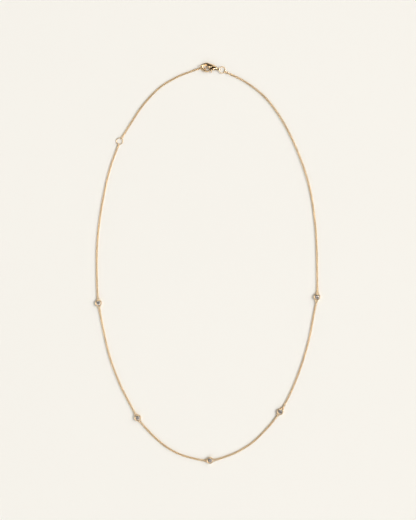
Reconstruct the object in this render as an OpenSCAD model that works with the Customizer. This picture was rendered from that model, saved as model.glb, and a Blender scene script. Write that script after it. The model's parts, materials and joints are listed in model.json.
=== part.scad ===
// Station necklace: a fine cable chain with five bezel-set stones, an adjusting ring and a lobster clasp.
// It lies open on a flat surface, front towards -Y, clasp at +Y, and z = 0 is the surface.

/* [Chain] */
// Outer width of a link
link_w = 1.1; // [1.08:0.01:1.12]
// Outer length of a link
link_l = 1.54; // [1.54:0.01:1.58]
// Thickness of the links' wire
link_wire = 0.28; // [0.24:0.01:0.28]
// Distance from one link to the next
link_pitch = 0.86; // [0.84:0.01:0.86]
// Diameter of the plain run that stands for the lying links
run_d = 0.9; // [0.7:0.05:1]

/* [Stations] */
// Outer diameter of a bezel cup
bezel_d = 3; // [2.9:0.05:3.1]
// Height of a bezel cup
bezel_h = 1.65; // [1.6:0.05:1.75]
// Diameter of a stone at its girdle
stone_d = 2.3; // [2.2:0.05:2.3]
// Outer diameter of the loops soldered to a cup
loop_d = 1.5; // [1.45:0.05:1.55]
// Thickness of those loops' wire
loop_wire = 0.34; // [0.3:0.01:0.36]

/* [Rings] */
// Outer diameter of the adjusting ring
extender_d = 3.3; // [3.2:0.1:3.5]
// Outer diameter of the ring at the clasp's tail
clasp_ring_d = 3.3; // [3.25:0.05:3.35]
// Outer diameter of the ring in the clasp's claw
end_ring_d = 3.2; // [3.15:0.05:3.2]
// Thickness of the rings' wire
ring_wire = 0.36; // [0.34:0.01:0.38]

/* [Clasp] */
// Height of the claw's belly above the surface
belly_h = 1.9; // [1.85:0.05:1.95]
// Diameter of the lever's pin
pin_d = 0.5; // [0.45:0.05:0.55]
// Thickness of the lever's hub, between the two cheeks
hub_h = 0.56; // [0.5:0.02:0.58]
// Diameter of the hole in the tail's eye
eye_hole_d = 0.76; // [0.74:0.02:0.78]

/* [Hidden] */
$fn = 48;

gold = [0.83, 0.66, 0.4];
diamond = [0.9, 0.89, 0.9];

// Places of the stations, from the left one round the front to the right one.
// Columns: x, y, heading of the chain through it in degrees.
stations = [
    [-50.3, -18.3, -82],
    [-32.3, -71, -58],
    [0.9, -90.6, 3],
    [33.2, -68.2, 55],
    [50.1, -15.5, 84]
];

// Loops lie flat at this height, so that an upright link round one just touches the surface.
loop_z = link_w / 2;
// Links that have rolled half over lie a little lower.
lie_z = run_d / 2;
// A soldered loop bites this deep into the cup.
solder = 0.4;
loop_at = (bezel_d + loop_d) / 2 - solder;
loop_reach = loop_at + (loop_d - loop_wire) / 2;

// The adjusting ring, with the directions in which the two chains leave it.
extender_at = [-40.6, 56.1, loop_z];
extender_to_clasp = 55;
extender_to_front = -105;

// The clasp's frame has its origin on the lever's pin, +X towards the tail and +Y towards the belly.
clasp_at = [2.6, 89.45, belly_h / 2];

// The ring on the tail tilts from the eye down to the last link.
clasp_ring_at = [6.5, 88.8, 0.73];
clasp_ring_tilt = 8.6;
clasp_ring_out = -32;

// The ring in the claw rolls, so that it passes under the hook on one side and over it on the other.
end_ring_at = [-2.26, 89.9, 1.08];
end_ring_roll = 39;
end_ring_out = 200;

function ring_r(d) = (d - ring_wire) / 2;

// A point on a ring's wire: ring radius, angle on it, roll about X and then tilt about Y.
function on_ring(at, r, a, roll = 0, tilt = 0) =
    let (p = [r * cos(a), r * sin(a) * cos(roll), r * sin(a) * sin(roll)])
    at + [p.x * cos(tilt), p.y, p.z - p.x * sin(tilt)];

// The point where a chain takes hold of a station's loop: side 1 is ahead, -1 is behind.
function at_loop(i, side) =
    [stations[i].x + side * loop_reach * cos(stations[i][2]),
     stations[i].y + side * loop_reach * sin(stations[i][2]),
     loop_z];

// Each chain: where it starts, points that it passes, where it ends, and the roll of its first link.
// The last link of each stands upright in a wire that lies flat.
upright = -90;
claw_roll = 90 - end_ring_roll;
chains = [
    [on_ring(end_ring_at, ring_r(end_ring_d), end_ring_out, end_ring_roll),
     [[-7, 88.4], [-14.5, 85.4], [-22.5, 80.4], [-30, 72.4], [-36, 63.4]],
     on_ring(extender_at, ring_r(extender_d), extender_to_clasp), claw_roll],
    [on_ring(extender_at, ring_r(extender_d), extender_to_front),
     [[-45, 43.5], [-48, 30.5], [-50, 18], [-51, 6], [-51, -8]],
     at_loop(0, -1), upright],
    [at_loop(0, 1),
     [[-48, -31], [-45, -43.5], [-40.5, -55.5], [-36.5, -63.5]],
     at_loop(1, -1), upright],
    [at_loop(1, 1),
     [[-25, -79.5], [-19, -84.5], [-12.5, -88], [-5.5, -90]],
     at_loop(2, -1), upright],
    [at_loop(2, 1),
     [[8, -89], [14, -86.5], [21, -82], [28, -75]],
     at_loop(3, -1), upright],
    [at_loop(3, 1),
     [[38.5, -58.5], [43, -47], [46.5, -35], [48.5, -24.5]],
     at_loop(4, -1), upright],
    [at_loop(4, 1),
     [[50, 8], [49, 21], [47, 33.5], [43.5, 45.5], [38.5, 57.5], [33, 67.5], [26, 76.5], [17, 83.5]],
     on_ring(clasp_ring_at, ring_r(clasp_ring_d), clasp_ring_out, 0, clasp_ring_tilt), upright]
];
// The chains between the stations are made of real links from end to end. The long ones at the sides and back
// have this many at each end, and a plain run where the others lie.
linked = [2, 3, 4, 5];
end_links = 2;
run_gap = 0.12;
run_sides = 8;
// Distance between the rings of a run
run_step = 3;

// The first link's centre lies this far past the wire that it holds, and the link is clear of that wire.
hold_gap = 0.05;
hold_back = (link_l - link_wire) / 2 - link_wire / 2 - ring_wire / 2 - hold_gap;
// Away from its ends a chain settles over this length: it comes down, and its links roll half over.
settle = 5;
lie_roll = 45;

function unit(v) = v / norm(v);

// Catmull-Rom curve through points p: the place at share t of span i.
function on_curve(p, i, t) =
    let (a = p[max(i - 1, 0)], b = p[i], c = p[i + 1], d = p[min(i + 2, len(p) - 1)])
    (2 * b + (c - a) * t + (2 * a - 5 * b + 4 * c - d) * t * t
        + (3 * b - a - 3 * c + d) * t * t * t) / 2;

function curve(p, step) = concat(
    [for (i = [0 : len(p) - 2])
        let (n = ceil(norm(p[i + 1] - p[i]) / step))
        for (k = [0 : n - 1]) on_curve(p, i, k / n)],
    [p[len(p) - 1]]);

// The distance along a line of points to each of them.
function lengths(p) = [
    for (i = 0, s = 0; i < len(p); s = s + (i + 1 < len(p) ? norm(p[i + 1] - p[i]) : 0), i = i + 1) s];

// An oval section of a sweep, across direction t at place c: w wide and h high.
function section(c, t, w, h, sides) =
    let (flat = unit([-t.y, t.x, 0]), up = unit(cross(t, flat)))
    [for (k = [0 : sides - 1])
        let (a = 360 * (k + 0.5) / sides)
        c + flat * w / 2 * cos(a) + up * h / 2 * sin(a)];

// A closed solid through a list of sections with the same number of points.
module sweep(sections) {
    n = len(sections[0]);
    last = len(sections) - 1;
    walls = [for (j = [0 : last - 1], k = [0 : n - 1], half = [0, 1])
        let (a = j * n + k, b = j * n + (k + 1) % n)
        half == 0 ? [a, a + n, b] : [b, a + n, b + n]];
    first_cap = [[for (k = [0 : n - 1]) k]];
    last_cap = [[for (k = [n - 1 : -1 : 0]) last * n + k]];
    polyhedron([for (s = sections) each s], concat(walls, first_cap, last_cap));
}

// The direction of a line of points at point i.
function heading(p, i) = unit(p[min(i + 1, len(p) - 1)] - p[max(i - 1, 0)]);

// One link, lying flat along X, with its centre at the origin.
module link() {
    bend = (link_w - link_wire) / 2;
    straight = link_l - link_w;
    for (side = [-1, 1]) {
        translate([side * straight / 2, 0, 0])
            rotate([0, 0, -90 * side])
                rotate_extrude(angle = 180)
                    translate([bend, 0])
                        circle(d = link_wire, $fn = 16);
        translate([-straight / 2, side * bend, 0])
            rotate([0, 90, 0])
                cylinder(d = link_wire, h = straight, $fn = 16);
    }
}

// A chain from end to end: links hold both end wires and each other, each a quarter turn from the last.
module chain(i) {
    from = chains[i][0];
    to = chains[i][2];
    route = curve([[from.x, from.y], each chains[i][1], [to.x, to.y]], 1);
    s = lengths(route);
    total = s[len(s) - 1];
    xs = [for (k = [0 : len(s) - 1]) [s[k], route[k].x]];
    ys = [for (k = [0 : len(s) - 1]) [s[k], route[k].y]];
    n = round((total - 2 * hold_back) / link_pitch) + 1;
    pitch = (total - 2 * hold_back) / (n - 1);
    first_roll = chains[i][3];
    lean = sign(first_roll);
    last_roll = lean * 90 * (n % 2);

    function hold(d) = let (t = min(1, d / settle)) 1 - t * t * (3 - 2 * t);
    function settled(d, first, middle, last) =
        middle + (first - middle) * hold(d) + (last - middle) * hold(total - d);
    function place(d) = [lookup(d, xs), lookup(d, ys), settled(d, from.z, lie_z, to.z)];
    function link_place(k) = hold_back + k * pitch;

    run_from = link_place(end_links - 1) + link_l / 2 + run_gap;
    run_to = link_place(n - end_links) - link_l / 2 - run_gap;
    run_rings = ceil((run_to - run_from) / run_step);
    run_route = [for (k = [0 : run_rings]) place(run_from + (run_to - run_from) * k / run_rings)];
    real = len(search(i, linked)) > 0;
    color(gold) {
        for (k = [0 : n - 1])
            if (real || k < end_links || k >= n - end_links) {
                d = link_place(k);
                along = unit(place(d + pitch / 2) - place(d - pitch / 2));
                translate(place(d))
                    rotate([0, -asin(along.z), atan2(along.y, along.x)])
                        rotate([settled(d, first_roll, lean * lie_roll, last_roll) + 90 * (k % 2), 0, 0])
                            link();
            }
        if (!real)
            sweep([for (k = [0 : len(run_route) - 1])
                section(run_route[k], heading(run_route, k), run_d, run_d, run_sides)]);
    }
}

// A ring of round wire, lying flat with its centre at the origin.
module wire_ring(d, wire) {
    rotate_extrude()
        translate([(d - wire) / 2, 0])
            circle(d = wire, $fn = 24);
}

// Heights in a cup. The stone's girdle sits under the turned-in rim.
lip_r = stone_d / 2 - 0.11;
seat_gap = 0.03;
girdle_h = 0.05;
girdle_z = bezel_h - 0.4;
back_r = stone_d / 2 - 0.3;
crown_slope = tan(34.5);
pavilion_slope = tan(41);
rim_bevel = 0.14;

// A bezel cup, open at the back, with a loop soldered on each side.
module bezel(i) {
    outer_r = bezel_d / 2;
    groove_r = stone_d / 2 + seat_gap;
    seat_z = girdle_z - seat_gap;
    lip_z = girdle_z + girdle_h + seat_gap;
    lip_under = lip_z + (groove_r - lip_r) * crown_slope;
    color(gold)
        translate([stations[i].x, stations[i].y, 0])
            rotate([0, 0, stations[i][2]]) {
                rotate_extrude()
                    polygon([
                        [back_r, 0.1],
                        [back_r + 0.1, 0],
                        [outer_r - 0.08, 0],
                        [outer_r, 0.08],
                        [outer_r, bezel_h - rim_bevel],
                        [outer_r - rim_bevel, bezel_h],
                        [lip_r, lip_under + 0.06],
                        [lip_r, lip_under],
                        [groove_r, lip_z],
                        [groove_r, seat_z],
                        [back_r, seat_z - (groove_r - back_r) * pavilion_slope]
                    ]);
                for (side = [-1, 1])
                    translate([side * loop_at, 0, loop_z])
                        wire_ring(loop_d, loop_wire);
            }
}

// A round brilliant: a table, 8 kites, 8 star and 16 girdle facets above, 8 mains and 16 girdle facets below.
module stone(i) {
    r = stone_d / 2;
    table_r = 0.56 * r;
    star_r = 0.8 * r;
    half_r = 0.25 * r;
    half = 22.5;
    top_z = girdle_h + (r - table_r) * crown_slope;
    star_z = girdle_h + (r - star_r * cos(half)) * crown_slope;
    half_z = -(r - half_r * cos(half)) * pavilion_slope;
    culet_z = -r * pavilion_slope;
    function round_points(r, z, n, turn) = [for (k = [0 : n - 1])
        [r * cos(360 * k / n + turn), r * sin(360 * k / n + turn), z]];
    // The facets are the faces of the hull round these corners.
    corners = concat(
        round_points(table_r, top_z, 8, 0),
        round_points(star_r, star_z, 8, half),
        round_points(r, girdle_h, 16, 0),
        round_points(r, 0, 16, 0),
        round_points(half_r, half_z, 8, half),
        [[0, 0, culet_z]]);
    color(diamond)
        translate([stations[i].x, stations[i].y, girdle_z])
            rotate([0, 0, stations[i][2]])
                hull()
                    polyhedron(corners, [for (k = [0 : 3 : len(corners) - 3]) [k, k + 1, k + 2]]);
}

module end_ring() {
    color(gold)
        translate(end_ring_at)
            rotate([end_ring_roll, 0, 0])
                wire_ring(end_ring_d, ring_wire);
}

module extender_ring() {
    color(gold)
        translate(extender_at)
            wire_ring(extender_d, ring_wire);
}

module clasp_ring() {
    color(gold)
        translate(clasp_ring_at)
            rotate([0, clasp_ring_tilt, 0])
                wire_ring(clasp_ring_d, ring_wire);
}

// The claw in the clasp's frame, from its tip round the hook and along the belly to the tail.
// Columns: x, y, width, height.
claw = [
    [-2.08, -1.17, 0.56, 0.56],
    [-2.2, -1.22, 0.72, 0.74],
    [-2.7, -1.32, 0.86, 0.85],
    [-3.55, -1.2, 0.96, 0.9],
    [-4.4, -0.72, 1, 0.92],
    [-5, 0.02, 1, 0.92],
    [-5.12, 0.85, 1, 0.92],
    [-4.7, 1.65, 0.96, 0.95],
    [-3.9, 2.08, 1, 1.05],
    [-3, 2.02, 1.3, 1.3],
    [-2.1, 1.5, 1.8, 1.6],
    [-1.2, 1.1, 1.9, 1.85],
    [-0.2, 0.85, 1.65, belly_h],
    [0.8, 0.27, 1.5, 1.6],
    [1.5, -0.2, 1.15, 1.25],
    [2.1, -0.45, 0.9, 1.1]
];

// The nose that the belly sends down between the opening and the lever.
nose = [
    [-1.9, 1.5, 1, 1.2],
    [-2, 0.9, 1.1, 1.5],
    [-2.05, 0.3, 1, 1.4],
    [-2.1, -0.1, 0.8, 1.1],
    [-2.15, -0.3, 0.4, 0.5]
];

// The lip below the belly, from the nose to the cheeks.
lip = [
    [-2.1, 0, 0.7, 1.2],
    [-1.5, 0.15, 0.9, 1.5],
    [-0.8, 0.5, 0.9, 1.5]
];

// The lever's arm in the same frame, from the hub to the tip that shuts against the claw, and its thumb tab.
lever_arm = [
    [0, 0, 0.7, hub_h - 0.04],
    [-0.5, -0.15, 0.7, hub_h - 0.04],
    [-0.95, -0.38, 0.66, hub_h - 0.04],
    [-1.3, -0.64, 0.66, hub_h - 0.04],
    [-1.55, -0.87, 0.64, hub_h - 0.04],
    [-1.85, -1.06, 0.58, hub_h - 0.04],
    [-2, -1.14, 0.46, 0.44]
];
thumb_tab = [
    [-1.15, -0.7, 0.5, 0.5],
    [-1.1, -1.1, 0.42, 0.5],
    [-1.05, -1.5, 0.44, 0.56],
    [-1.02, -1.8, 0.4, 0.5],
    [-1.01, -1.93, 0.24, 0.3]
];

// A curve through the rows of a table, with extra steps in each span.
module oval_sweep(table, steps_each) {
    places = [for (row = table) [row[0], row[1], 0]];
    sizes = [for (row = table) [row[2], row[3], 0]];
    fine = concat(
        [for (i = [0 : len(table) - 2], k = [0 : steps_each - 1])
            [on_curve(places, i, k / steps_each), on_curve(sizes, i, k / steps_each)]],
        [[places[len(table) - 1], sizes[len(table) - 1]]]);
    route = [for (f = fine) f[0]];
    sweep([for (k = [0 : len(fine) - 1])
        section(fine[k][0], heading(route, k), fine[k][1].x, fine[k][1].y, 16)]);
}

pin_gap = 0.02;
cheek_r = 0.85;
cheek_h = 1.5;
slot_gap = 0.05;
slot_r = 0.74;
slot_reach = 1.15;
slot_rise = 0.62;
// The slot goes on through the nose, so that the arm can swing into it.
nose_slot_at = [-3, -0.72];
nose_slot_size = [2, 1.2];
eye_at = [2.45, -0.5, 0];
eye_d = 1.24;
eye_w = 0.8;

module clasp_body() {
    slot_h = hub_h + 2 * slot_gap;
    color(gold)
        translate(clasp_at)
            difference() {
                union() {
                    oval_sweep(claw, 3);
                    oval_sweep(nose, 3);
                    oval_sweep(lip, 3);
                    translate([0, 0, -cheek_h / 2])
                        cylinder(r = cheek_r, h = cheek_h);
                    translate(eye_at + [0, eye_w / 2, 0])
                        rotate([90, 0, 0])
                            cylinder(d = eye_d, h = eye_w);
                }
                translate([0, 0, -slot_h / 2])
                    cylinder(r = slot_r, h = slot_h);
                translate([-slot_reach, -cheek_r - slot_gap, -slot_h / 2])
                    cube([slot_reach, cheek_r + slot_gap + slot_rise, slot_h]);
                translate([each nose_slot_at, -slot_h / 2])
                    cube([each nose_slot_size, slot_h]);
                translate([0, 0, -belly_h])
                    cylinder(d = pin_d + 2 * pin_gap, h = 2 * belly_h);
                translate(eye_at + [0, eye_w, 0])
                    rotate([90, 0, 0])
                        cylinder(d = eye_hole_d, h = 2 * eye_w);
            }
}

module clasp_lever() {
    hub_r = 0.62;
    color(gold)
        translate(clasp_at)
            difference() {
                union() {
                    translate([0, 0, -hub_h / 2])
                        cylinder(r = hub_r, h = hub_h);
                    oval_sweep(lever_arm, 3);
                    oval_sweep(thumb_tab, 2);
                }
                translate([0, 0, -hub_h])
                    cylinder(d = pin_d + 2 * pin_gap, h = 2 * hub_h);
            }
}

module clasp_pin() {
    color(gold)
        translate(clasp_at + [0, 0, -cheek_h / 2])
            cylinder(d = pin_d, h = cheek_h);
}

for (i = [0 : len(chains) - 1])
    chain(i);
for (i = [0 : len(stations) - 1])
    bezel(i);
for (i = [0 : len(stations) - 1])
    stone(i);
end_ring();
extender_ring();
clasp_ring();
clasp_body();
clasp_lever();
clasp_pin();
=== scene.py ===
# %% [markdown]
# # A station necklace, finished in Blender
#
# The object is a fine cable chain of yellow gold, 18 inches round. Five small diamonds sit in bezel cups along its
# front half, an adjusting ring sits two inches from its end, and a lobster clasp joins the two ends. It lies open on
# a pale surface and is seen from straight above.
#
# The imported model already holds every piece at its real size. This file gives the pieces their looks: links of real
# wire, rounded rims, cut stones, a cast clasp, polished metal, and the light that makes gold read as gold.

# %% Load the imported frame
import json
import math
import random

import bmesh
import bpy
import numpy as np
from mathutils import Matrix, Vector
from mathutils.bvhtree import BVHTree


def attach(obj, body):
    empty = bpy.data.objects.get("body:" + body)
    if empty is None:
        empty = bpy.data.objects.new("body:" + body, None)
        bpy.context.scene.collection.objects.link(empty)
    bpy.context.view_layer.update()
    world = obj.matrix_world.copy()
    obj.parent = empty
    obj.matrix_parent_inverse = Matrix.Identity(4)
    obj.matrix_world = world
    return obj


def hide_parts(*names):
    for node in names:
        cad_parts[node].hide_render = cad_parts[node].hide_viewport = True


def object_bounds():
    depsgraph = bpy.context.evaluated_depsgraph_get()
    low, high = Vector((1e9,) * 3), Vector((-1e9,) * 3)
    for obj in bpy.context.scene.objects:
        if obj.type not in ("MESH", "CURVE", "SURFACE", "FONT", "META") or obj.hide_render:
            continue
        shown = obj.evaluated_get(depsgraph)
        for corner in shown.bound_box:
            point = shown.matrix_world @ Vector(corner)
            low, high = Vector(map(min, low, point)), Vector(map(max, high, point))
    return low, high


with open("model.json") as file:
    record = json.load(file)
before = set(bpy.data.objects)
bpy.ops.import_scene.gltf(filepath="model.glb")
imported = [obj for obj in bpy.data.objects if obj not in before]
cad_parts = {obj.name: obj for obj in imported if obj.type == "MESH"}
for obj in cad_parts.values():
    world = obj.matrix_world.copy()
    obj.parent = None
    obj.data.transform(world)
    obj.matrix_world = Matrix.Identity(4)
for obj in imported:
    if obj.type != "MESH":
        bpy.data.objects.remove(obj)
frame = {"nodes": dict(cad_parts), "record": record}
cad_low, cad_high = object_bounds()
MM = 0.001
cad_size = [round((high - low) / MM, 2) for low, high in zip(cad_low, cad_high)]
print("frame:", len(frame["nodes"]), "nodes,", cad_size, "mm")

# %% [markdown]
# ## Camera
# A jeweller's catalogue picture of a lying necklace is taken from a stand, straight down, with a long lens. A long
# lens far away draws the two ends of the loop at one scale, so the outline keeps its true oval. An orthographic
# camera would do that too, but it has no distance, and the other views need one.

# %% Camera over the necklace
PIXELS_HIGH = 520
MM_PER_PIXEL = 0.46
VIEW_CENTRE = Vector((0.00001, 0.00147, 0))
LENS = 100
SENSOR = 36

frame_height = PIXELS_HIGH * MM_PER_PIXEL * MM
camera_height = frame_height / 2 / (SENSOR / 2 / LENS)
camera_data = bpy.data.cameras.new("camera")
camera_data.lens = LENS
camera_data.sensor_width = SENSOR
camera_data.clip_start = 0.01
camera_data.clip_end = 20
camera = bpy.data.objects.new("camera", camera_data)
camera.location = VIEW_CENTRE + Vector((0, 0, camera_height))
bpy.context.scene.collection.objects.link(camera)
bpy.context.scene.camera = camera
print("camera:", round(camera_height, 3), "m up, frame", round(frame_height, 4), "m high")

# %% Small helpers for node trees
def add_node(tree, kind, **values):
    """Adds a node and sets its properties by name."""
    made = tree.nodes.new(kind)
    for name, value in values.items():
        setattr(made, name, value)
    return made


def noise(tree, scale, detail, roughness, source):
    """Adds a noise texture that reads source."""
    made = add_node(tree, "ShaderNodeTexNoise")
    made.inputs["Detail"].default_value = detail
    made.inputs["Roughness"].default_value = roughness
    if hasattr(scale, "is_linked"):
        tree.links.new(scale, made.inputs["Scale"])
    else:
        made.inputs["Scale"].default_value = scale
    tree.links.new(source, made.inputs["Vector"])
    return made.outputs["Fac"]


def between(tree, factor, low, high):
    """Maps factor from 0..1 to low..high, where both are sockets or numbers."""
    made = add_node(tree, "ShaderNodeMapRange")
    tree.links.new(factor, made.inputs["Value"])
    for name, value in (("To Min", low), ("To Max", high)):
        if hasattr(value, "is_linked"):
            tree.links.new(value, made.inputs[name])
        else:
            made.inputs[name].default_value = value
    return made.outputs["Result"]


# %% [markdown]
# ## Light
# Polished gold has hardly any colour of its own. It shows what is round it, so light for metal is chosen as much for
# what it leaves dark as for what it lights. One lamp with a soft edge stands at the right, about 54 degrees up. It
# draws the glints in the left walls of the cups, which face it, and the soft shadows to the left. It stands far away,
# or the card would be brighter on the lamp's side.

# %% A soft box is an area light that looks at the necklace
def soft_box(name, azimuth, elevation, distance, size, watts, colour):
    """Adds a square area light. Azimuth 0 is the picture's right and 90 its top, in degrees."""
    turn = math.radians(azimuth)
    rise = math.radians(elevation)
    away = Vector((math.cos(turn) * math.cos(rise), math.sin(turn) * math.cos(rise), math.sin(rise)))
    data = bpy.data.lights.new(name, "AREA")
    data.shape = "SQUARE"
    data.size = size
    data.energy = watts
    data.color = colour
    box = bpy.data.objects.new(name, data)
    box.location = away * distance
    box.rotation_euler = away.to_track_quat("Z", "Y").to_euler()
    bpy.context.scene.collection.objects.link(box)
    return box


soft_box("key_box", 0, 54, 10, 2.6, 480, (1.0, 0.985, 0.96))

# %% [markdown]
# The room round the necklace is a few patches of light on a dark ground: two bright windows at the right and in
# front, a weaker one at the left, a small warm one at the back, which gives the clasp's belly its yellow gleam, and
# the pale card's own light low at both sides. They give a little more than half of the light on the card, which keeps
# the lamp's shadows pale. The rest stays dark, so that metal and facets which turn away from the windows fall to deep
# brown and black, as they do in the picture. A sky texture or a photograph of a studio would also do, but a short sum
# of smooth patches is easier to steer.

# %% The room
ROOM_BASE = (0.03, 0.027, 0.024)
# Each patch: its direction, the angle within which it is full and the one where it ends, and its colour.
PATCHES = [
    ((1, 0.3, 0.9), 15, 38, (1.77, 1.743, 1.699)),
    ((0, -1, 0.9), 15, 35, (1.77, 1.743, 1.699)),
    ((-1, 0.2, 0.4), 15, 40, (0.8, 0.788, 0.768)),
    ((-1, 0, 0.05), 10, 30, (0.4, 0.394, 0.384)),
    ((1, 0, 0), 10, 30, (0.3, 0.296, 0.288)),
    ((0.5, 1, 0.5), 10, 22, (1.2, 1.06, 0.84)),
]


def make_room():
    """A world made of smooth patches of light on a dark ground."""
    world = bpy.data.worlds.new("room")
    world.use_nodes = True
    bpy.context.scene.world = world
    tree = world.node_tree
    direction = add_node(tree, "ShaderNodeTexCoord").outputs["Generated"]
    total = None
    for towards, full, end, colour in PATCHES:
        cosine = add_node(tree, "ShaderNodeVectorMath", operation="DOT_PRODUCT")
        tree.links.new(direction, cosine.inputs[0])
        cosine.inputs[1].default_value = Vector(towards).normalized()
        edge = add_node(tree, "ShaderNodeMapRange", interpolation_type="SMOOTHSTEP")
        tree.links.new(cosine.outputs["Value"], edge.inputs["Value"])
        edge.inputs["From Min"].default_value = math.cos(math.radians(end))
        edge.inputs["From Max"].default_value = math.cos(math.radians(full))
        patch = add_node(tree, "ShaderNodeVectorMath", operation="SCALE")
        patch.inputs[0].default_value = colour
        tree.links.new(edge.outputs["Result"], patch.inputs["Scale"])
        adding = add_node(tree, "ShaderNodeVectorMath", operation="ADD")
        adding.inputs[0].default_value = ROOM_BASE
        if total:
            tree.links.new(total, adding.inputs[0])
        tree.links.new(patch.outputs["Vector"], adding.inputs[1])
        total = adding.outputs["Vector"]
    tree.links.new(total, tree.nodes["Background"].inputs["Color"])
    return world


make_room()
scene = bpy.context.scene
scene.view_settings.view_transform = "Standard"
scene.view_settings.look = "None"
print("room:", len(PATCHES), "patches of light")

# %% [markdown]
# ## Materials
# Worn jewellery is polished, yet never a perfect mirror: buffing leaves hair-fine lines, wear rounds the shine off in
# patches, and the alloy is a shade redder where the polish is thinner. Recesses are painted dark: painted shade, with
# the polish and skin grease that no buff reaches. All the gold pieces share these effects, so they are one node group
# with its own inputs, and each material places it with its own values. The shader itself stays in the material, where
# its constant values can be set on its sockets.

# %% The shared effect: polish with wear, and painted shade in recesses
# Painted shade: where the Recess input rises from the first value to the second, the colour goes to a near-black
# brown, with grime's dull roughness.
RECESS_FROM = 0.3
RECESS_FULL = 0.75
RECESS_SHADE_COLOUR = (0.02, 0.012, 0.006)
RECESS_ROUGHNESS = 0.6
# Buffing lines run along one direction: the noise is stretched along it.
LINE_STRETCH = (1, 0.12, 0.5)
LINE_TURN = (0.3, 0.5, 0.8)


def make_polish_and_shade_group():
    """A node group that varies colour, roughness and height as worn polish does, and paints shade into recesses."""
    group = bpy.data.node_groups.new("polish_and_recess_shade", "ShaderNodeTree")
    sockets = group.interface
    for name, kind in (("Colour", "NodeSocketColor"), ("Deep Colour", "NodeSocketColor"),
                       ("Patch Scale", "NodeSocketFloat"), ("Line Scale", "NodeSocketFloat"),
                       ("Shiny", "NodeSocketFloat"), ("Dull", "NodeSocketFloat"),
                       ("Tone", "NodeSocketFloat"), ("Recess", "NodeSocketFloat")):
        sockets.new_socket(name=name, in_out="INPUT", socket_type=kind)
    for name, kind in (("Colour", "NodeSocketColor"), ("Roughness", "NodeSocketFloat"),
                       ("Height", "NodeSocketFloat")):
        sockets.new_socket(name=name, in_out="OUTPUT", socket_type=kind)
    given = add_node(group, "NodeGroupInput")
    out = add_node(group, "NodeGroupOutput")
    place = add_node(group, "ShaderNodeTexCoord").outputs["Object"]
    patches = noise(group, given.outputs["Patch Scale"], 3, 0.6, place)
    stretch = add_node(group, "ShaderNodeMapping")
    stretch.inputs["Scale"].default_value = LINE_STRETCH
    stretch.inputs["Rotation"].default_value = LINE_TURN
    group.links.new(place, stretch.inputs["Vector"])
    lines = noise(group, given.outputs["Line Scale"], 2, 0.7, stretch.outputs["Vector"])
    tint = add_node(group, "ShaderNodeMix", data_type="RGBA")
    depth = add_node(group, "ShaderNodeMath", operation="MULTIPLY")
    group.links.new(patches, depth.inputs[0])
    group.links.new(given.outputs["Tone"], depth.inputs[1])
    group.links.new(depth.outputs[0], tint.inputs["Factor"])
    group.links.new(given.outputs["Colour"], tint.inputs["A"])
    group.links.new(given.outputs["Deep Colour"], tint.inputs["B"])
    # Painted shade in recesses, with grime: the colour darkens towards near black.
    crease = add_node(group, "ShaderNodeMapRange", interpolation_type="SMOOTHSTEP")
    group.links.new(given.outputs["Recess"], crease.inputs["Value"])
    crease.inputs["From Min"].default_value = RECESS_FROM
    crease.inputs["From Max"].default_value = RECESS_FULL
    shaded = add_node(group, "ShaderNodeMix", data_type="RGBA")
    shaded.inputs["B"].default_value = (*RECESS_SHADE_COLOUR, 1)
    group.links.new(crease.outputs["Result"], shaded.inputs["Factor"])
    group.links.new(tint.outputs["Result"], shaded.inputs["A"])
    group.links.new(shaded.outputs["Result"], out.inputs["Colour"])
    worn = between(group, patches, given.outputs["Shiny"], given.outputs["Dull"])
    group.links.new(between(group, crease.outputs["Result"], worn, RECESS_ROUGHNESS), out.inputs["Roughness"])
    group.links.new(lines, out.inputs["Height"])
    return group


polish_and_recess_shade = make_polish_and_shade_group()
print("node group:", polish_and_recess_shade.name, [s.name for s in polish_and_recess_shade.interface.items_tree])

# %% [markdown]
# Gold's colour lies in its mirror, not under it, so the metal is a Principled shader with Metallic at 1 and the colour
# of 14 karat yellow gold as its base. The three gold finishes differ in wear: drawn wire, turned cups and rings, and
# the cast clasp, which keeps the faint ripple of its mould.

# %% Gold in three finishes
GOLD = (0.93, 0.72, 0.455)
DEEP_GOLD = (0.75, 0.53, 0.3)
LINE_DEPTH = 0.01 * MM


def make_gold(name, patch_mm, line_mm, shiny, dull, relief, tone=0.6, tone_from=None):
    """Polished gold. patch_mm and line_mm are the sizes of its wear, relief is the strength of its bump."""
    material = bpy.data.materials.new(name)
    material.use_nodes = True
    tree = material.node_tree
    shader = tree.nodes["Principled BSDF"]
    shader.inputs["Metallic"].default_value = 1.0
    polish = add_node(tree, "ShaderNodeGroup", node_tree=polish_and_recess_shade)
    polish.inputs["Colour"].default_value = (*GOLD, 1)
    polish.inputs["Deep Colour"].default_value = (*DEEP_GOLD, 1)
    polish.inputs["Patch Scale"].default_value = 1 / (patch_mm * MM)
    polish.inputs["Line Scale"].default_value = 1 / (line_mm * MM)
    polish.inputs["Shiny"].default_value = shiny
    polish.inputs["Dull"].default_value = dull
    polish.inputs["Tone"].default_value = tone
    if tone_from:
        told = add_node(tree, "ShaderNodeAttribute", attribute_name=tone_from)
        tree.links.new(told.outputs["Fac"], polish.inputs["Tone"])
    # The recess attribute paints shade: deep corners turn near black.
    recess = add_node(tree, "ShaderNodeAttribute", attribute_name="recess")
    tree.links.new(recess.outputs["Fac"], polish.inputs["Recess"])
    bump = add_node(tree, "ShaderNodeBump")
    bump.inputs["Strength"].default_value = relief
    bump.inputs["Distance"].default_value = LINE_DEPTH
    tree.links.new(polish.outputs["Colour"], shader.inputs["Base Color"])
    tree.links.new(polish.outputs["Roughness"], shader.inputs["Roughness"])
    tree.links.new(polish.outputs["Height"], bump.inputs["Height"])
    tree.links.new(bump.outputs["Normal"], shader.inputs["Normal"])
    return material


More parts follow.
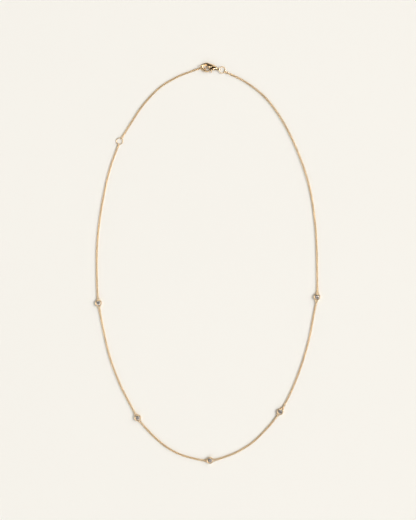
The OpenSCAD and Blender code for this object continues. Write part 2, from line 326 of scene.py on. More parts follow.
wire_gold = make_gold("wire_gold", 0.5, 0.12, 0.18, 0.36, 0.35, tone_from="link_tone")
turned_gold = make_gold("turned_gold", 0.9, 0.10, 0.18, 0.34, 0.2)
cast_gold = make_gold("cast_gold", 1.2, 0.35, 0.14, 0.30, 0.5, tone=1.2)
print("gold finishes:", wire_gold.name, turned_gold.name, cast_gold.name)

# %% [markdown]
# Diamond bends light more than anything else in the picture: its index is 2.42, against 1.5 for window glass. That
# number sends most of the light that enters the top back out of it, broken into bright and black facets. A painted
# pattern could copy the picture's facets for one view only. Real refraction through a real cut does it in all views.

# %% Diamond
DIAMOND_INDEX = 2.42
DIAMOND_TINTS = ((0.95, 0.865, 0.805), (0.89, 0.8, 0.74))
CLOUD = 0.8 * MM


def make_diamond():
    """Clear, slightly warm stone. Its transmission and index are plain values."""
    material = bpy.data.materials.new("diamond")
    material.use_nodes = True
    tree = material.node_tree
    shader = tree.nodes["Principled BSDF"]
    shader.inputs["Roughness"].default_value = 0.0
    shader.inputs["IOR"].default_value = DIAMOND_INDEX
    shader.inputs["Transmission Weight"].default_value = 1.0
    place = add_node(tree, "ShaderNodeTexCoord").outputs["Object"]
    cloud = noise(tree, 1 / CLOUD, 2, 0.5, place)
    tint = add_node(tree, "ShaderNodeMix", data_type="RGBA")
    for name, colour in zip("AB", DIAMOND_TINTS):
        tint.inputs[name].default_value = (*colour, 1)
    tree.links.new(cloud, tint.inputs["Factor"])
    tree.links.new(tint.outputs["Result"], shader.inputs["Base Color"])
    return material


diamond = make_diamond()
print("stone:", diamond.name, "with index", DIAMOND_INDEX)

# %% [markdown]
# ## Floor
# The necklace lies on a sheet of warm white card. It is wide enough that no view sees past its edge.

# %% Card under the necklace
CARD_TINTS = ((0.88, 0.87, 0.835), (0.895, 0.885, 0.85))
CARD_HALF_SIDE = 6


def make_card():
    """Matt card with the faintest mottle."""
    material = bpy.data.materials.new("card")
    material.use_nodes = True
    tree = material.node_tree
    shader = tree.nodes["Principled BSDF"]
    shader.inputs["Roughness"].default_value = 0.9
    shader.inputs["Specular IOR Level"].default_value = 0.1
    place = add_node(tree, "ShaderNodeTexCoord").outputs["Object"]
    mottle = noise(tree, 12, 4, 0.6, place)
    tint = add_node(tree, "ShaderNodeMix", data_type="RGBA")
    for name, colour in zip("AB", CARD_TINTS):
        tint.inputs[name].default_value = (*colour, 1)
    tree.links.new(mottle, tint.inputs["Factor"])
    tree.links.new(tint.outputs["Result"], shader.inputs["Base Color"])
    return material


bm = bmesh.new()
bmesh.ops.create_grid(bm, x_segments=1, y_segments=1, size=CARD_HALF_SIDE)
card_mesh = bpy.data.meshes.new("card")
bm.to_mesh(card_mesh)
bm.free()
card_mesh.materials.append(make_card())
card = bpy.data.objects.new("card", card_mesh)
bpy.context.scene.collection.objects.link(card)
print("card:", 2 * CARD_HALF_SIDE, "m square")

# %% [markdown]
# ## From a bmesh to a finished piece
# Every piece ends the same way. Its normals are turned outwards, and it becomes an object which sits at the origin,
# unturned and unscaled, with its place in its mesh. Then it is tied to the body that it moves with, and the part of
# the imported model that it stands for is hidden.

# %% How deep each corner sits in a recess
RAYS = 20
RECESS_REACH = 0.0006
LIFT_OFF = 0.00001


def sky_directions(count):
    """Directions over the upper half of a sphere, denser towards its top, as light falls on a flat face."""
    golden = math.pi * (3 - math.sqrt(5))
    for k in range(count):
        r = math.sqrt((k + 0.5) / count)
        yield Vector((r * math.cos(golden * k), r * math.sin(golden * k), math.sqrt(1 - r * r)))


def mark_recesses(bm, depth, full_shade_at):
    """Stores on each corner, for the gold's painted shade, the share of its view that the piece shuts off nearby, or 1
    where the given test says so.
    """
    directions = list(sky_directions(RAYS))
    tree = BVHTree.FromBMesh(bm)
    layer = bm.verts.layers.float.new("recess")
    for v in bm.verts:
        upright = v.normal.to_track_quat("Z", "Y").to_matrix()
        start = v.co + v.normal * LIFT_OFF
        shut = sum(tree.ray_cast(start, upright @ way, RECESS_REACH)[0] is not None for way in directions)
        v[layer] = 1 if full_shade_at and full_shade_at(v.co) else depth * shut / RAYS


# %% Finishing a piece
def finish_piece(bm, name, material, node, smooth_angle=None, shade_amount=0, full_shade_at=None):
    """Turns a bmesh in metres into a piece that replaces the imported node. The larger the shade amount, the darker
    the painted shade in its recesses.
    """
    bmesh.ops.recalc_face_normals(bm, faces=bm.faces)
    if shade_amount:
        bm.normal_update()
        mark_recesses(bm, shade_amount, full_shade_at)
    mesh = bpy.data.meshes.new(name)
    bm.to_mesh(mesh)
    bm.free()
    mesh.materials.append(material)
    mesh.shade_smooth()
    if smooth_angle is not None:
        mesh.set_sharp_from_angle(angle=math.radians(smooth_angle))
    piece = bpy.data.objects.new(name, mesh)
    bpy.context.scene.collection.objects.link(piece)
    body = next(b for b, members in frame["record"]["behaviour"]["bodies"].items() if node in members)
    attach(piece, body)
    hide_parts(node)
    print(f"{name}: {len(mesh.vertices)} vertices, {len(mesh.polygons)} faces, rides on {body}")
    return piece


# %% [markdown]
# ## One link
# A cable link is a ring of round wire, pulled a little long. It could be a squashed torus, but squashing thins the
# wire at the sides. Here a small circle is spun half way round one end, carried along the straight side, spun round
# the other end and carried back, so the wire keeps its thickness. The shape is repeated hundreds of times, so it has
# only six sides to its wire and twelve rings.

# %% Measures of the chain, the same as in the part's source
LINK_W = 0.0011
LINK_L = 0.00154
LINK_WIRE = 0.00028
LINK_PITCH = 0.00086
WIRE_SIDES = 6
STEPS_PER_END = 5
TINY = 1e-7


# %% Spin a link
def half_turn(bm, edges, centre):
    """Spins edges half way round the upright axis at centre and gives back the last ring's edges."""
    spun = bmesh.ops.spin(bm, geom=edges, cent=centre, axis=(0, 0, 1), angle=math.pi, steps=STEPS_PER_END)
    return [g for g in spun["geom_last"] if isinstance(g, bmesh.types.BMEdge)]


def carry(bm, edges, by):
    """Extrudes edges straight by a vector and gives back the new ring's edges."""
    made = bmesh.ops.extrude_edge_only(bm, edges=edges)["geom"]
    bmesh.ops.translate(bm, vec=by, verts=[g for g in made if isinstance(g, bmesh.types.BMVert)])
    return [g for g in made if isinstance(g, bmesh.types.BMEdge)]


def make_link(bm):
    """One link, lying flat along X with its centre at the origin."""
    bend = (LINK_W - LINK_WIRE) / 2
    straight = LINK_L - LINK_W
    start = Matrix.Translation((straight / 2, -bend, 0)) @ Matrix.Rotation(math.pi / 2, 4, "Y")
    bmesh.ops.create_circle(bm, segments=WIRE_SIDES, radius=LINK_WIRE / 2, matrix=start)
    ring = half_turn(bm, bm.edges[:], (straight / 2, 0, 0))
    ring = carry(bm, ring, (-straight, 0, 0))
    ring = half_turn(bm, ring, (-straight / 2, 0, 0))
    carry(bm, ring, (straight, 0, 0))
    bmesh.ops.remove_doubles(bm, verts=bm.verts, dist=TINY)
    bmesh.ops.recalc_face_normals(bm, faces=bm.faces)


bm = bmesh.new()
make_link(bm)
print("link:", len(bm.verts), "vertices,", len(bm.faces), "faces,", round(bm.calc_volume() / MM ** 3, 3), "mm3")
bm.free()

# %% [markdown]
# ## Where the links lie
# The route of each chain is a short list of points given in the table, joined by a smooth Catmull-Rom curve.
# A link sits every 0.86 mm along it, each turned a quarter from the last. Near a ring or a cup the links stand
# upright and flat by turns, because they hang in a wire that lies flat. Further on the chain relaxes: all its links
# roll half over, to 45 degrees, and it settles down to the card.

# %% Stations, rings and route points
BELLY_H = 0.0019
STATIONS = [(-0.0503, -0.0183, -82), (-0.0323, -0.071, -58), (0.0009, -0.0906, 3),
            (0.0332, -0.0682, 55), (0.0501, -0.0155, 84)]
BEZEL_D = 0.003
LOOP_D = 0.0015
LOOP_WIRE = 0.00034
SOLDER = 0.0004
LOOP_AT = (BEZEL_D + LOOP_D) / 2 - SOLDER
LOOP_Z = LINK_W / 2
LIE_Z = 0.00045
RING_WIRE = 0.00036
RINGS = {
    "end_ring": {"at": (-0.00226, 0.0899, 0.00108), "d": 0.0032, "roll": 39, "tilt": 0},
    "extender_ring": {"at": (-0.0406, 0.0561, LOOP_Z), "d": 0.0033, "roll": 0, "tilt": 0},
    "clasp_ring": {"at": (0.0065, 0.0888, 0.00073), "d": 0.0033, "roll": 0, "tilt": 8.6},
}
CLASP_AT = (0.0026, 0.08945, BELLY_H / 2)


def on_ring(name, angle):
    """The point on a ring's wire at an angle on it."""
    ring = RINGS[name]
    r = (ring["d"] - RING_WIRE) / 2
    tilt = Matrix.Rotation(math.radians(ring["tilt"]), 3, "Y")
    roll = Matrix.Rotation(math.radians(ring["roll"]), 3, "X")
    flat = Vector((r * math.cos(math.radians(angle)), r * math.sin(math.radians(angle)), 0))
    return Vector(ring["at"]) + tilt @ roll @ flat


def at_loop(station, side):
    """The point where a chain takes hold of a station's loop. Side 1 is ahead and -1 is behind."""
    x, y, heading = STATIONS[station]
    reach = side * (LOOP_AT + (LOOP_D - LOOP_WIRE) / 2)
    return Vector((x + reach * math.cos(math.radians(heading)), y + reach * math.sin(math.radians(heading)), LOOP_Z))


# %% The seven chains
UPRIGHT = -90
CLAW_ROLL = 90 - RINGS["end_ring"]["roll"]
CHAINS = {
    "chain_1": (on_ring("end_ring", 200),
                [(-0.007, 0.0884), (-0.0145, 0.0854), (-0.0225, 0.0804), (-0.03, 0.0724), (-0.036, 0.0634)],
                on_ring("extender_ring", 55), CLAW_ROLL),
    "chain_2": (on_ring("extender_ring", -105),
                [(-0.045, 0.0435), (-0.048, 0.0305), (-0.05, 0.018), (-0.051, 0.006), (-0.051, -0.008)],
                at_loop(0, -1), UPRIGHT),
    "chain_3": (at_loop(0, 1),
                [(-0.048, -0.031), (-0.045, -0.0435), (-0.0405, -0.0555), (-0.0365, -0.0635)],
                at_loop(1, -1), UPRIGHT),
    "chain_4": (at_loop(1, 1),
                [(-0.025, -0.0795), (-0.019, -0.0845), (-0.0125, -0.088), (-0.0055, -0.09)],
                at_loop(2, -1), UPRIGHT),
    "chain_5": (at_loop(2, 1),
                [(0.008, -0.089), (0.014, -0.0865), (0.021, -0.082), (0.028, -0.075)],
                at_loop(3, -1), UPRIGHT),
    "chain_6": (at_loop(3, 1),
                [(0.0385, -0.0585), (0.043, -0.047), (0.0465, -0.035), (0.0485, -0.0245)],
                at_loop(4, -1), UPRIGHT),
    "chain_7": (at_loop(4, 1),
                [(0.05, 0.008), (0.049, 0.021), (0.047, 0.0335), (0.0435, 0.0455),
                 (0.0385, 0.0575), (0.033, 0.0675), (0.026, 0.0765), (0.017, 0.0835)],
                on_ring("clasp_ring", -32), UPRIGHT),
}


# %% A smooth line through the points
def smooth_line(points, step):
    """Catmull-Rom curve through points, with a point about every step."""
    line = []
    for i in range(len(points) - 1):
        a, b, c, d = (Vector(points[max(0, min(j, len(points) - 1))]) for j in range(i - 1, i + 3))
        count = math.ceil((c - b).length / step)
        for k in range(count):
            t = k / count
            line.append((2 * b + (c - a) * t + (2 * a - 5 * b + 4 * c - d) * t ** 2
                         + (3 * b - a - 3 * c + d) * t ** 3) / 2)
    return line + [Vector(points[-1])]


# %% Places of a chain's links
HOLD_GAP = 0.00005
SETTLE = 0.005
LIE_ROLL = 45
HOLD_BACK = (LINK_L - LINK_WIRE) / 2 - LINK_WIRE / 2 - RING_WIRE / 2 - HOLD_GAP


def link_places(name):
    """The matrices that put a chain's links in place, from its first to its last."""
    first, passes, last, first_roll = CHAINS[name]
    line = smooth_line([first.xy, *passes, last.xy], MM)
    gaps = [(b - a).length for a, b in zip(line, line[1:])]
    along = np.concatenate([[0], np.cumsum(gaps)])
    total = along[-1]
    count = round((total - 2 * HOLD_BACK) / LINK_PITCH) + 1
    pitch = (total - 2 * HOLD_BACK) / (count - 1)
    lean = math.copysign(1, first_roll)
    last_roll = lean * 90 * (count % 2)

    def hold(d):
        t = min(1, max(0, d / SETTLE))
        return 1 - t * t * (3 - 2 * t)

    def settled(d, start, middle, end):
        return middle + (start - middle) * hold(d) + (end - middle) * hold(total - d)

    def place(d):
        x = np.interp(d, along, [p.x for p in line])
        y = np.interp(d, along, [p.y for p in line])
        return Vector((x, y, settled(d, first.z, LIE_Z, last.z)))

    for k in range(count):
        d = HOLD_BACK + k * pitch
        heading = (place(d + pitch / 2) - place(d - pitch / 2)).normalized()
        roll = math.radians(settled(d, first_roll, lean * LIE_ROLL, last_roll) + 90 * (k % 2))
        yield (Matrix.Translation(place(d))
               @ Matrix.Rotation(math.atan2(heading.y, heading.x), 4, "Z")
               @ Matrix.Rotation(-math.asin(heading.z), 4, "Y")
               @ Matrix.Rotation(roll, 4, "X"))


# %% [markdown]
# ## The chains
# Copies could be made by an Array modifier along a curve, but its twist can't alternate and relax as these links do.
# So the link is duplicated with an operator and each copy gets its own matrix. No two links of a real chain lie quite
# alike: each gets a small turn of its own, and a number that its gold reads as tone.

# %% Lay every chain
JITTER_ROLL = 5
JITTER_YAW = 2.5
TONES = (0.2, 1.0)


def make_chain(name, seed):
    """Joins all the links of a chain in one piece."""
    chance = random.Random(seed)
    bm = bmesh.new()
    tone = bm.verts.layers.float.new("link_tone")
    make_link(bm)
    pattern = bm.verts[:] + bm.edges[:] + bm.faces[:]
    for place in link_places(name):
        copied = bmesh.ops.duplicate(bm, geom=pattern)["geom"]
        verts = [g for g in copied if isinstance(g, bmesh.types.BMVert)]
        loose = (Matrix.Rotation(math.radians(chance.uniform(-JITTER_ROLL, JITTER_ROLL)), 4, "X")
                 @ Matrix.Rotation(math.radians(chance.uniform(-JITTER_YAW, JITTER_YAW)), 4, "Z"))
        bmesh.ops.transform(bm, matrix=place @ loose, verts=verts)
        shade = chance.uniform(*TONES)
        for v in verts:
            v[tone] = shade
    bmesh.ops.delete(bm, geom=[g for g in pattern if isinstance(g, bmesh.types.BMVert)], context="VERTS")
    return finish_piece(bm, name + "_links", wire_gold, name)


for number, name in enumerate(CHAINS):
    make_chain(name, number)

# %% [markdown]
# ## Rings
# The three jump rings are turns of thicker wire. A circle spun all the way round makes one, and the spin's own merge
# closes it.

# %% Spin a ring
RING_STEPS = 56
RING_SIDES = 14


def spin_ring(bm, diameter, wire, matrix, steps=RING_STEPS, sides=RING_SIDES):
    """Adds a closed ring of round wire, lying flat before matrix places it."""
    start = Matrix.Translation(((diameter - wire) / 2, 0, 0)) @ Matrix.Rotation(math.pi / 2, 4, "X")
    circle = bmesh.ops.create_circle(bm, segments=sides, radius=wire / 2, matrix=start)["verts"]
    edges = list({e for v in circle for e in v.link_edges})
    known = set(bm.verts) - set(circle)
    bmesh.ops.spin(bm, geom=edges, cent=(0, 0, 0), axis=(0, 0, 1), angle=math.tau, steps=steps, use_merge=True)
    new = [v for v in bm.verts if v not in known]
    bmesh.ops.transform(bm, matrix=matrix, verts=new)


for name, ring in RINGS.items():
    bm = bmesh.new()
    turn = (Matrix.Translation(ring["at"]) @ Matrix.Rotation(math.radians(ring["tilt"]), 4, "Y")
            @ Matrix.Rotation(math.radians(ring["roll"]), 4, "X"))
    spin_ring(bm, ring["d"], RING_WIRE, turn)
    # Painted shade in the ring's recesses.
    finish_piece(bm, name + "_wire", turned_gold, name, shade_amount=1)

# %% [markdown]
# ## Bezel cups
# A bezel is a strip of gold, turned up round a stone and pressed in over its edge. Its section says everything: a
# straight outer wall, a rounded rim, a bright slope in to the stone, the groove that the stone's edge sits in, and a
# seat below it. The section is drawn once as a closed loop of edges and spun round, and then the sharp rings are
# bevelled, because a pressed and polished edge is never sharp. Two small loops of wire are soldered to the sides.

# %% Heights and radii of a cup
BEZEL_H = 0.00165
STONE_D = 0.0023
SEAT_GAP = 0.00003
GIRDLE_H = 0.00005
GIRDLE_Z = BEZEL_H - 0.0004
CROWN_SLOPE = math.tan(math.radians(34.5))
PAVILION_SLOPE = math.tan(math.radians(41))
LIP_R = STONE_D / 2 - 0.00011
BACK_R = STONE_D / 2 - 0.0003
RIM_BEVEL = 0.0002
FOOT_BEVEL = 0.0001
FOOT_EDGE = 0.00008
LIP_EDGE = 0.00006
CUP_STEPS = 64


def cup_section():
    """Points of the cup's wall as radius and height, from its inner foot round the outside to its seat."""
    outer = BEZEL_D / 2
    groove = STONE_D / 2 + SEAT_GAP
    seat_z = GIRDLE_Z - SEAT_GAP
    lip_z = GIRDLE_Z + GIRDLE_H + SEAT_GAP
    lip_under = lip_z + (groove - LIP_R) * CROWN_SLOPE
    return [(BACK_R, FOOT_BEVEL), (BACK_R + FOOT_BEVEL, 0), (outer - FOOT_EDGE, 0), (outer, FOOT_EDGE),
            (outer, BEZEL_H - RIM_BEVEL), (outer - RIM_BEVEL, BEZEL_H), (LIP_R, lip_under + LIP_EDGE),
            (LIP_R, lip_under), (groove, lip_z), (groove, seat_z),
            (BACK_R, seat_z - (groove - BACK_R) * PAVILION_SLOPE)]


# %% Spin the cups and solder their loops
EDGE_ROUND = 0.00006
SHARP = math.radians(20)
LOOP_STEPS = 32
LOOP_SIDES = 12


def make_cup(number, station):
    """A cup with its two loops, at its station."""
    x, y, heading = station
    bm = bmesh.new()
    corners = [bm.verts.new((r, 0, z)) for r, z in cup_section()]
    edges = [bm.edges.new((a, b)) for a, b in zip(corners, corners[1:] + corners[:1])]
    bmesh.ops.spin(bm, geom=corners + edges, cent=(0, 0, 0), axis=(0, 0, 1), angle=math.tau,
                   steps=CUP_STEPS, use_merge=True)
    bmesh.ops.recalc_face_normals(bm, faces=bm.faces)
    sharp = [e for e in bm.edges if len(e.link_faces) == 2 and e.calc_face_angle() > SHARP]
    bmesh.ops.bevel(bm, geom=sharp, offset=EDGE_ROUND, offset_type="OFFSET", segments=3, profile=0.5,
                    affect="EDGES", clamp_overlap=True, material=-1)
    for side in (-1, 1):
        spin_ring(bm, LOOP_D, LOOP_WIRE, Matrix.Translation((side * LOOP_AT, 0, LOOP_Z)), LOOP_STEPS, LOOP_SIDES)
    turn = Matrix.Translation((x, y, 0)) @ Matrix.Rotation(math.radians(heading), 4, "Z")
    bmesh.ops.transform(bm, matrix=turn, verts=bm.verts)
    # Painted shade in the cup's recesses, round the stone and at the loops.
    return finish_piece(bm, f"bezel_{number}_cup", turned_gold, f"bezel_{number}", smooth_angle=40, shade_amount=1)


for number, station in enumerate(STATIONS, 1):
    make_cup(number, station)

# %% [markdown]
# ## Stones
# A round brilliant has a flat table, a crown of kites and triangles, a thin girdle and a pointed pavilion. Every facet
# is flat, so the stone is the convex hull of its corners, and only the corner rings have to be placed: the hull
# finds the facets. The corners of the star ring lie in the planes of the kites, or the kites would break. A setter
# doesn't line up the facets of one stone with the next, so each stone is turned in its cup by an angle of its own.

# %% Cut the stones
TABLE = 0.56
STAR = 0.8
LOWER_HALF = 0.25
FACETS = 8
HALF_FACET = math.pi / FACETS
SAME_FACET = math.radians(0.5)
STONES_TURNED = (4, 22, 16, 16, 22)


def corner_ring(bm, radius, height, count, turn):
    """Adds a ring of corners at a height, turned by an angle."""
    place = Matrix.Translation((0, 0, height)) @ Matrix.Rotation(turn, 4, "Z")
    bmesh.ops.create_circle(bm, segments=count, radius=radius, matrix=place)


def make_stone(number, station, turned):
    """A round brilliant, turned in its cup as the setter left it."""
    x, y, heading = station
    r = STONE_D / 2
    flat = math.cos(HALF_FACET)
    bm = bmesh.new()
    corner_ring(bm, TABLE * r, GIRDLE_H + (r - TABLE * r) * CROWN_SLOPE, FACETS, 0)
    corner_ring(bm, STAR * r, GIRDLE_H + (r - STAR * r * flat) * CROWN_SLOPE, FACETS, HALF_FACET)
    corner_ring(bm, r, GIRDLE_H, 2 * FACETS, 0)
    corner_ring(bm, r, 0, 2 * FACETS, 0)
    corner_ring(bm, LOWER_HALF * r, -(r - LOWER_HALF * r * flat) * PAVILION_SLOPE, FACETS, HALF_FACET)
    bm.verts.new((0, 0, -r * PAVILION_SLOPE))
    bmesh.ops.delete(bm, geom=bm.edges[:], context="EDGES_FACES")
    bmesh.ops.convex_hull(bm, input=bm.verts[:])
    bmesh.ops.dissolve_limit(bm, angle_limit=SAME_FACET, verts=bm.verts[:], edges=bm.edges[:])
    turn = Matrix.Translation((x, y, GIRDLE_Z)) @ Matrix.Rotation(math.radians(heading + turned), 4, "Z")
    bmesh.ops.transform(bm, matrix=turn, verts=bm.verts)
    return finish_piece(bm, f"stone_{number}_brilliant", diamond, f"stone_{number}", smooth_angle=1)


for number, (station, turned) in enumerate(zip(STATIONS, STONES_TURNED), 1):
    make_stone(number, station, turned)

# %% [markdown]
# ## The clasp
# A lobster clasp is cast: the hooked claw, the belly, the two cheeks that hold the lever and the eye at the tail are
# one lump of metal, with soft corners where they meet. Solids that are only joined keep a hard seam there, and a bevel
# on such a seam often breaks. So the solids are modelled overlapping and their skin is remade with small voxels, which
# melts them together as a casting is, and a little smoothing rounds what is left. A deep groove on each side parts the
# belly from the lever and its cheeks, and a small one runs down the tail. They are cut and smoothed next, and their
# floors are painted black: painted shade, with the grime that no cloth reaches. The slot, the pin's bore and the eye's
# hole are cut last, so that they stay crisp.
#
# Voxels and booleans have tolerances meant for things about a metre in size, so the clasp is modelled in millimetres
# and scaled when it is finished. Its origin is the pin, X points to the tail and Y to the belly.

# %% Measures of the clasp, in millimetres
CLAW = [(-2.08, -1.17, 0.56, 0.56), (-2.2, -1.22, 0.72, 0.74), (-2.7, -1.32, 0.86, 0.85), (-3.55, -1.2, 0.96, 0.9),
        (-4.4, -0.72, 1, 0.92), (-5, 0.02, 1, 0.92), (-5.12, 0.85, 1, 0.92), (-4.7, 1.65, 0.96, 0.95),
        (-3.9, 2.08, 1, 1.05), (-3, 2.02, 1.3, 1.3), (-2.1, 1.5, 1.8, 1.6), (-1.2, 1.1, 1.9, 1.85),
        (-0.2, 0.85, 1.65, 1.9), (0.8, 0.27, 1.5, 1.6), (1.5, -0.2, 1.15, 1.25), (2.1, -0.45, 0.9, 1.1)]
NOSE = [(-1.9, 1.5, 1, 1.2), (-2, 0.9, 1.1, 1.5), (-2.05, 0.3, 1, 1.4), (-2.1, -0.1, 0.8, 1.1),
        (-2.15, -0.3, 0.4, 0.5)]
LIP = [(-2.1, 0, 0.7, 1.2), (-1.5, 0.15, 0.9, 1.5), (-0.8, 0.5, 0.9, 1.5)]
LEVER_ARM = [(0, 0, 0.7, 0.52), (-0.5, -0.15, 0.7, 0.52), (-0.95, -0.38, 0.66, 0.52), (-1.3, -0.64, 0.66, 0.52),
             (-1.55, -0.87, 0.64, 0.52), (-1.85, -1.06, 0.58, 0.52), (-2, -1.14, 0.46, 0.44)]
THUMB_TAB = [(-1.15, -0.7, 0.5, 0.5), (-1.1, -1.1, 0.42, 0.5), (-1.05, -1.5, 0.44, 0.56),
             (-1.02, -1.8, 0.4, 0.5), (-1.01, -1.93, 0.24, 0.3)]
CHEEK_R = 0.85
CHEEK_H = 1.5
# Melting shrinks a dome a little, so the cheeks start this much wider.
CHEEK_SWELL = 1.12
HUB_R = 0.62
HUB_H = 0.56
SLOT_R = 0.74
SLOT_H = 0.66
SLOT_REACH = 1.15
SLOT_RISE = 0.62
PIN_D = 0.5
PIN_GAP = 0.02
NOSE_SLOT = ((-3, -0.72), (-1, 0.48))
EYE_AT = Vector((2.45, -0.5, 0))
EYE_D = 1.24
EYE_W = 0.8
EYE_HOLE_D = 0.76


# %% A loft through ovals
def smooth_rows(rows, steps):
    """Catmull-Rom rows between the rows of a table, steps to each span."""
    fine = []
    for i in range(len(rows) - 1):
        a, b, c, d = (np.array(rows[max(0, min(j, len(rows) - 1))]) for j in range(i - 1, i + 3))
        for k in range(steps):
            t = k / steps
            fine.append((2 * b + (c - a) * t + (2 * a - 5 * b + 4 * c - d) * t ** 2
                         + (3 * b - a - 3 * c + d) * t ** 3) / 2)
    return fine + [np.array(rows[-1])]


def oval_loft(bm, rows, steps=4, sides=20):
    """Adds a closed solid through ovals. Columns of rows: x, y, width, height."""
    fine = smooth_rows(rows, steps)
    places = [Vector((x, y, 0)) for x, y, w, h in fine]
    rings = []
    for i, (x, y, width, height) in enumerate(fine):
        ahead = (places[min(i + 1, len(fine) - 1)] - places[max(i - 1, 0)]).normalized()
        across = Vector((-ahead.y, ahead.x, 0)) * width / 2
        up = Vector((0, 0, height / 2))
        frame_of_oval = Matrix((across, up, ahead)).transposed().to_4x4()
        made = bmesh.ops.create_circle(bm, segments=sides, radius=1,
                                       matrix=Matrix.Translation(places[i]) @ frame_of_oval)["verts"]
        rings.append(list({e for v in made for e in v.link_edges}))
    for ring, following in zip(rings, rings[1:]):
        bmesh.ops.bridge_loops(bm, edges=ring + following)
    for end in (rings[0], rings[-1]):
        bmesh.ops.contextual_create(bm, geom=end)
    bmesh.ops.recalc_face_normals(bm, faces=bm.faces)


def add_drum(bm, diameter, depth, matrix=Matrix.Identity(4), segments=48):
    """Adds a closed cylinder along Z, centred before matrix places it."""
    bmesh.ops.create_cone(bm, cap_ends=True, segments=segments, radius1=diameter / 2, radius2=diameter / 2,
                          depth=depth, matrix=matrix)


# %% Melting solids together, and cutting them
def stand_in_object(bm):
    """Puts a bmesh in a working object, which is removed after its modifiers are read."""
    mesh = bpy.data.meshes.new("working")
    bm.to_mesh(mesh)
    bm.free()
    working = bpy.data.objects.new("working", mesh)
    scene.collection.objects.link(working)
    return working


def take_result(working, *others):
    """The working object's shape with its modifiers, as a new bmesh."""
    bm = bmesh.new()
    bm.from_object(working, bpy.context.evaluated_depsgraph_get())
    for used in (working, *others):
        mesh = used.data
        bpy.data.objects.remove(used)
        bpy.data.meshes.remove(mesh)
    return bm


def melt(bm, voxel, rounds):
    """Makes one skin round overlapping solids and smooths it."""
    working = stand_in_object(bm)
    skin = working.modifiers.new("skin", "REMESH")
    skin.mode = "VOXEL"
    skin.voxel_size = voxel
    smooth = working.modifiers.new("smooth", "SMOOTH")
    smooth.factor = 0.5
    smooth.iterations = rounds
    return take_result(working)


def cut_away(bm, cutters):
    """Cuts each bmesh of cutters out of bm."""
    working = stand_in_object(bm)
    tools = [stand_in_object(cutter) for cutter in cutters]
    for tool in tools:
        cut = working.modifiers.new("cut", "BOOLEAN")
        cut.operation = "DIFFERENCE"
        cut.solver = "EXACT"
        cut.object = tool
    return take_result(working, *tools)


# %% Cutters for the clasp
ACROSS = Matrix.Rotation(math.pi / 2, 4, "X")
BELLY_GROOVE = [(-2.35, -0.5, 0.5, 1.4), (-1.75, -0.27, 0.75, 1.4), (-1.2, -0.04, 0.85, 1.4),
                (-0.5, 0.3, 0.85, 1.4), (0.4, 0.5, 0.75, 1.4), (1.3, 0.62, 0.5, 1.4)]
TAIL_GROOVE = [(0.5, -0.62, 0.3, 1.4), (1.2, -0.45, 0.32, 1.4), (1.9, -0.55, 0.28, 1.4)]
GROOVES = (BELLY_GROOVE, TAIL_GROOVE)
GROOVE_FLOOR = 0.37
# Groove floors within these reaches are painted in full shade.
FLOOR_SHADE_REACH = 0.6
FLOOR_SHADE_DEPTH = 0.14


def drum_cutter(diameter, depth, matrix=Matrix.Identity(4)):
    """A cylinder to cut with."""
    bm = bmesh.new()
    add_drum(bm, diameter, depth, matrix)
    return bm


def block_cutter(low, high):
    """A block to cut with, from its low to its high corner."""
    bm = bmesh.new()
    size = Matrix.Diagonal((*(Vector(high) - Vector(low)), 1))
    bmesh.ops.create_cube(bm, size=1, matrix=Matrix.Translation((Vector(low) + Vector(high)) / 2) @ size)
    return bm


def groove_cutter(rows, side):
    """A groove through the rows of a table, on the upper side or, with side -1, on the lower one."""
    bm = bmesh.new()
    oval_loft(bm, rows)
    height = rows[0][3]
    bmesh.ops.translate(bm, vec=(0, 0, side * (GROOVE_FLOOR + height / 2)), verts=bm.verts)
    return bm


def in_groove(place):
    """Whether a point of the finished body lies on the floor of a groove, where the shade is painted in full."""
    x, y, z = (place - Vector(CLASP_AT)) / MM
    if not GROOVE_FLOOR - FLOOR_SHADE_DEPTH < abs(z) < GROOVE_FLOOR + FLOOR_SHADE_DEPTH:
        return False
    return any(math.hypot(x - row[0], y - row[1]) < row[2] * FLOOR_SHADE_REACH
               for rows in GROOVES for row in smooth_rows(rows, 4))


print("clasp: grooves through", len(BELLY_GROOVE), "and", len(TAIL_GROOVE), "points")

# %% Cast the body
CLASP_VOXEL = 0.045
SMOOTH_ROUNDS = 5
GROOVE_ROUNDS = 2
TO_FRAME = Matrix.Translation(CLASP_AT) @ Matrix.Diagonal((MM, MM, MM, 1))


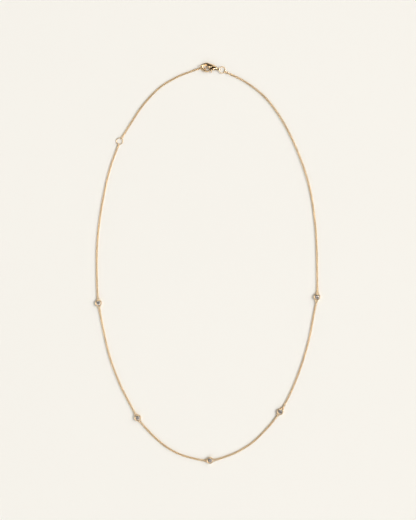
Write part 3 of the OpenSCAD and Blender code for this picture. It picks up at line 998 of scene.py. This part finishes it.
def make_clasp_body():
    """Claw, belly, cheeks and eye in one casting."""
    bm = bmesh.new()
    oval_loft(bm, CLAW)
    oval_loft(bm, NOSE)
    oval_loft(bm, LIP)
    bmesh.ops.create_uvsphere(bm, u_segments=48, v_segments=24, radius=CHEEK_R,
                              matrix=Matrix.Diagonal((CHEEK_SWELL, CHEEK_SWELL, CHEEK_H / 2 / CHEEK_R, 1)))
    add_drum(bm, EYE_D, EYE_W, Matrix.Translation(EYE_AT) @ ACROSS)
    bm = melt(bm, CLASP_VOXEL, SMOOTH_ROUNDS)
    bm = cut_away(bm, [groove_cutter(rows, side) for rows in GROOVES for side in (1, -1)])
    bm = melt(bm, CLASP_VOXEL, GROOVE_ROUNDS)
    bm = cut_away(bm, [block_cutter((-SLOT_REACH, -2 * CHEEK_R, -SLOT_H / 2), (0, SLOT_RISE, SLOT_H / 2)),
                       block_cutter((*NOSE_SLOT[0], -SLOT_H / 2), (*NOSE_SLOT[1], SLOT_H / 2)),
                       drum_cutter(2 * SLOT_R, SLOT_H),
                       drum_cutter(PIN_D + 2 * PIN_GAP, 3 * CHEEK_H),
                       drum_cutter(EYE_HOLE_D, 3 * EYE_W, Matrix.Translation(EYE_AT) @ ACROSS)])
    bmesh.ops.transform(bm, matrix=TO_FRAME, verts=bm.verts)
    # Strong painted shade in the body's recesses, and full painted shade on the groove floors.
    return finish_piece(bm, "clasp_body_cast", cast_gold, "clasp_body", smooth_angle=40,
                        shade_amount=2.4, full_shade_at=in_groove)


make_clasp_body()


# %% Cast the lever
LEVER_VOXEL = 0.035
LEVER_ROUNDS = 3


def make_clasp_lever():
    """Hub, arm and thumb tab in one casting."""
    bm = bmesh.new()
    oval_loft(bm, LEVER_ARM)
    oval_loft(bm, THUMB_TAB)
    add_drum(bm, 2 * HUB_R, HUB_H)
    bm = melt(bm, LEVER_VOXEL, LEVER_ROUNDS)
    bm = cut_away(bm, [drum_cutter(PIN_D + 2 * PIN_GAP, 3 * HUB_H)])
    bmesh.ops.transform(bm, matrix=TO_FRAME, verts=bm.verts)
    # Painted shade in the lever's recesses.
    return finish_piece(bm, "clasp_lever_cast", cast_gold, "clasp_lever", smooth_angle=40, shade_amount=1)


make_clasp_lever()

# %% [markdown]
# The pin is a rivet: a plain rod whose two ends are closed into low domes on the cheeks. A cylinder with its end edges
# bevelled by several segments gives both domes at once.

# %% Rivet
DOME = 0.05
DOME_ROUND = 0.12


def make_pin():
    """The lever's pin, with closed ends."""
    bm = bmesh.new()
    add_drum(bm, PIN_D, CHEEK_H + 2 * DOME)
    rims = [e for e in bm.edges if e.calc_face_angle() > math.radians(60)]
    bmesh.ops.bevel(bm, geom=rims, offset=DOME_ROUND, offset_type="OFFSET", segments=5, profile=0.5,
                    affect="EDGES", material=-1)
    bmesh.ops.transform(bm, matrix=TO_FRAME, verts=bm.verts)
    return finish_piece(bm, "clasp_pin_rivet", turned_gold, "clasp_pin", smooth_angle=60)


make_pin()
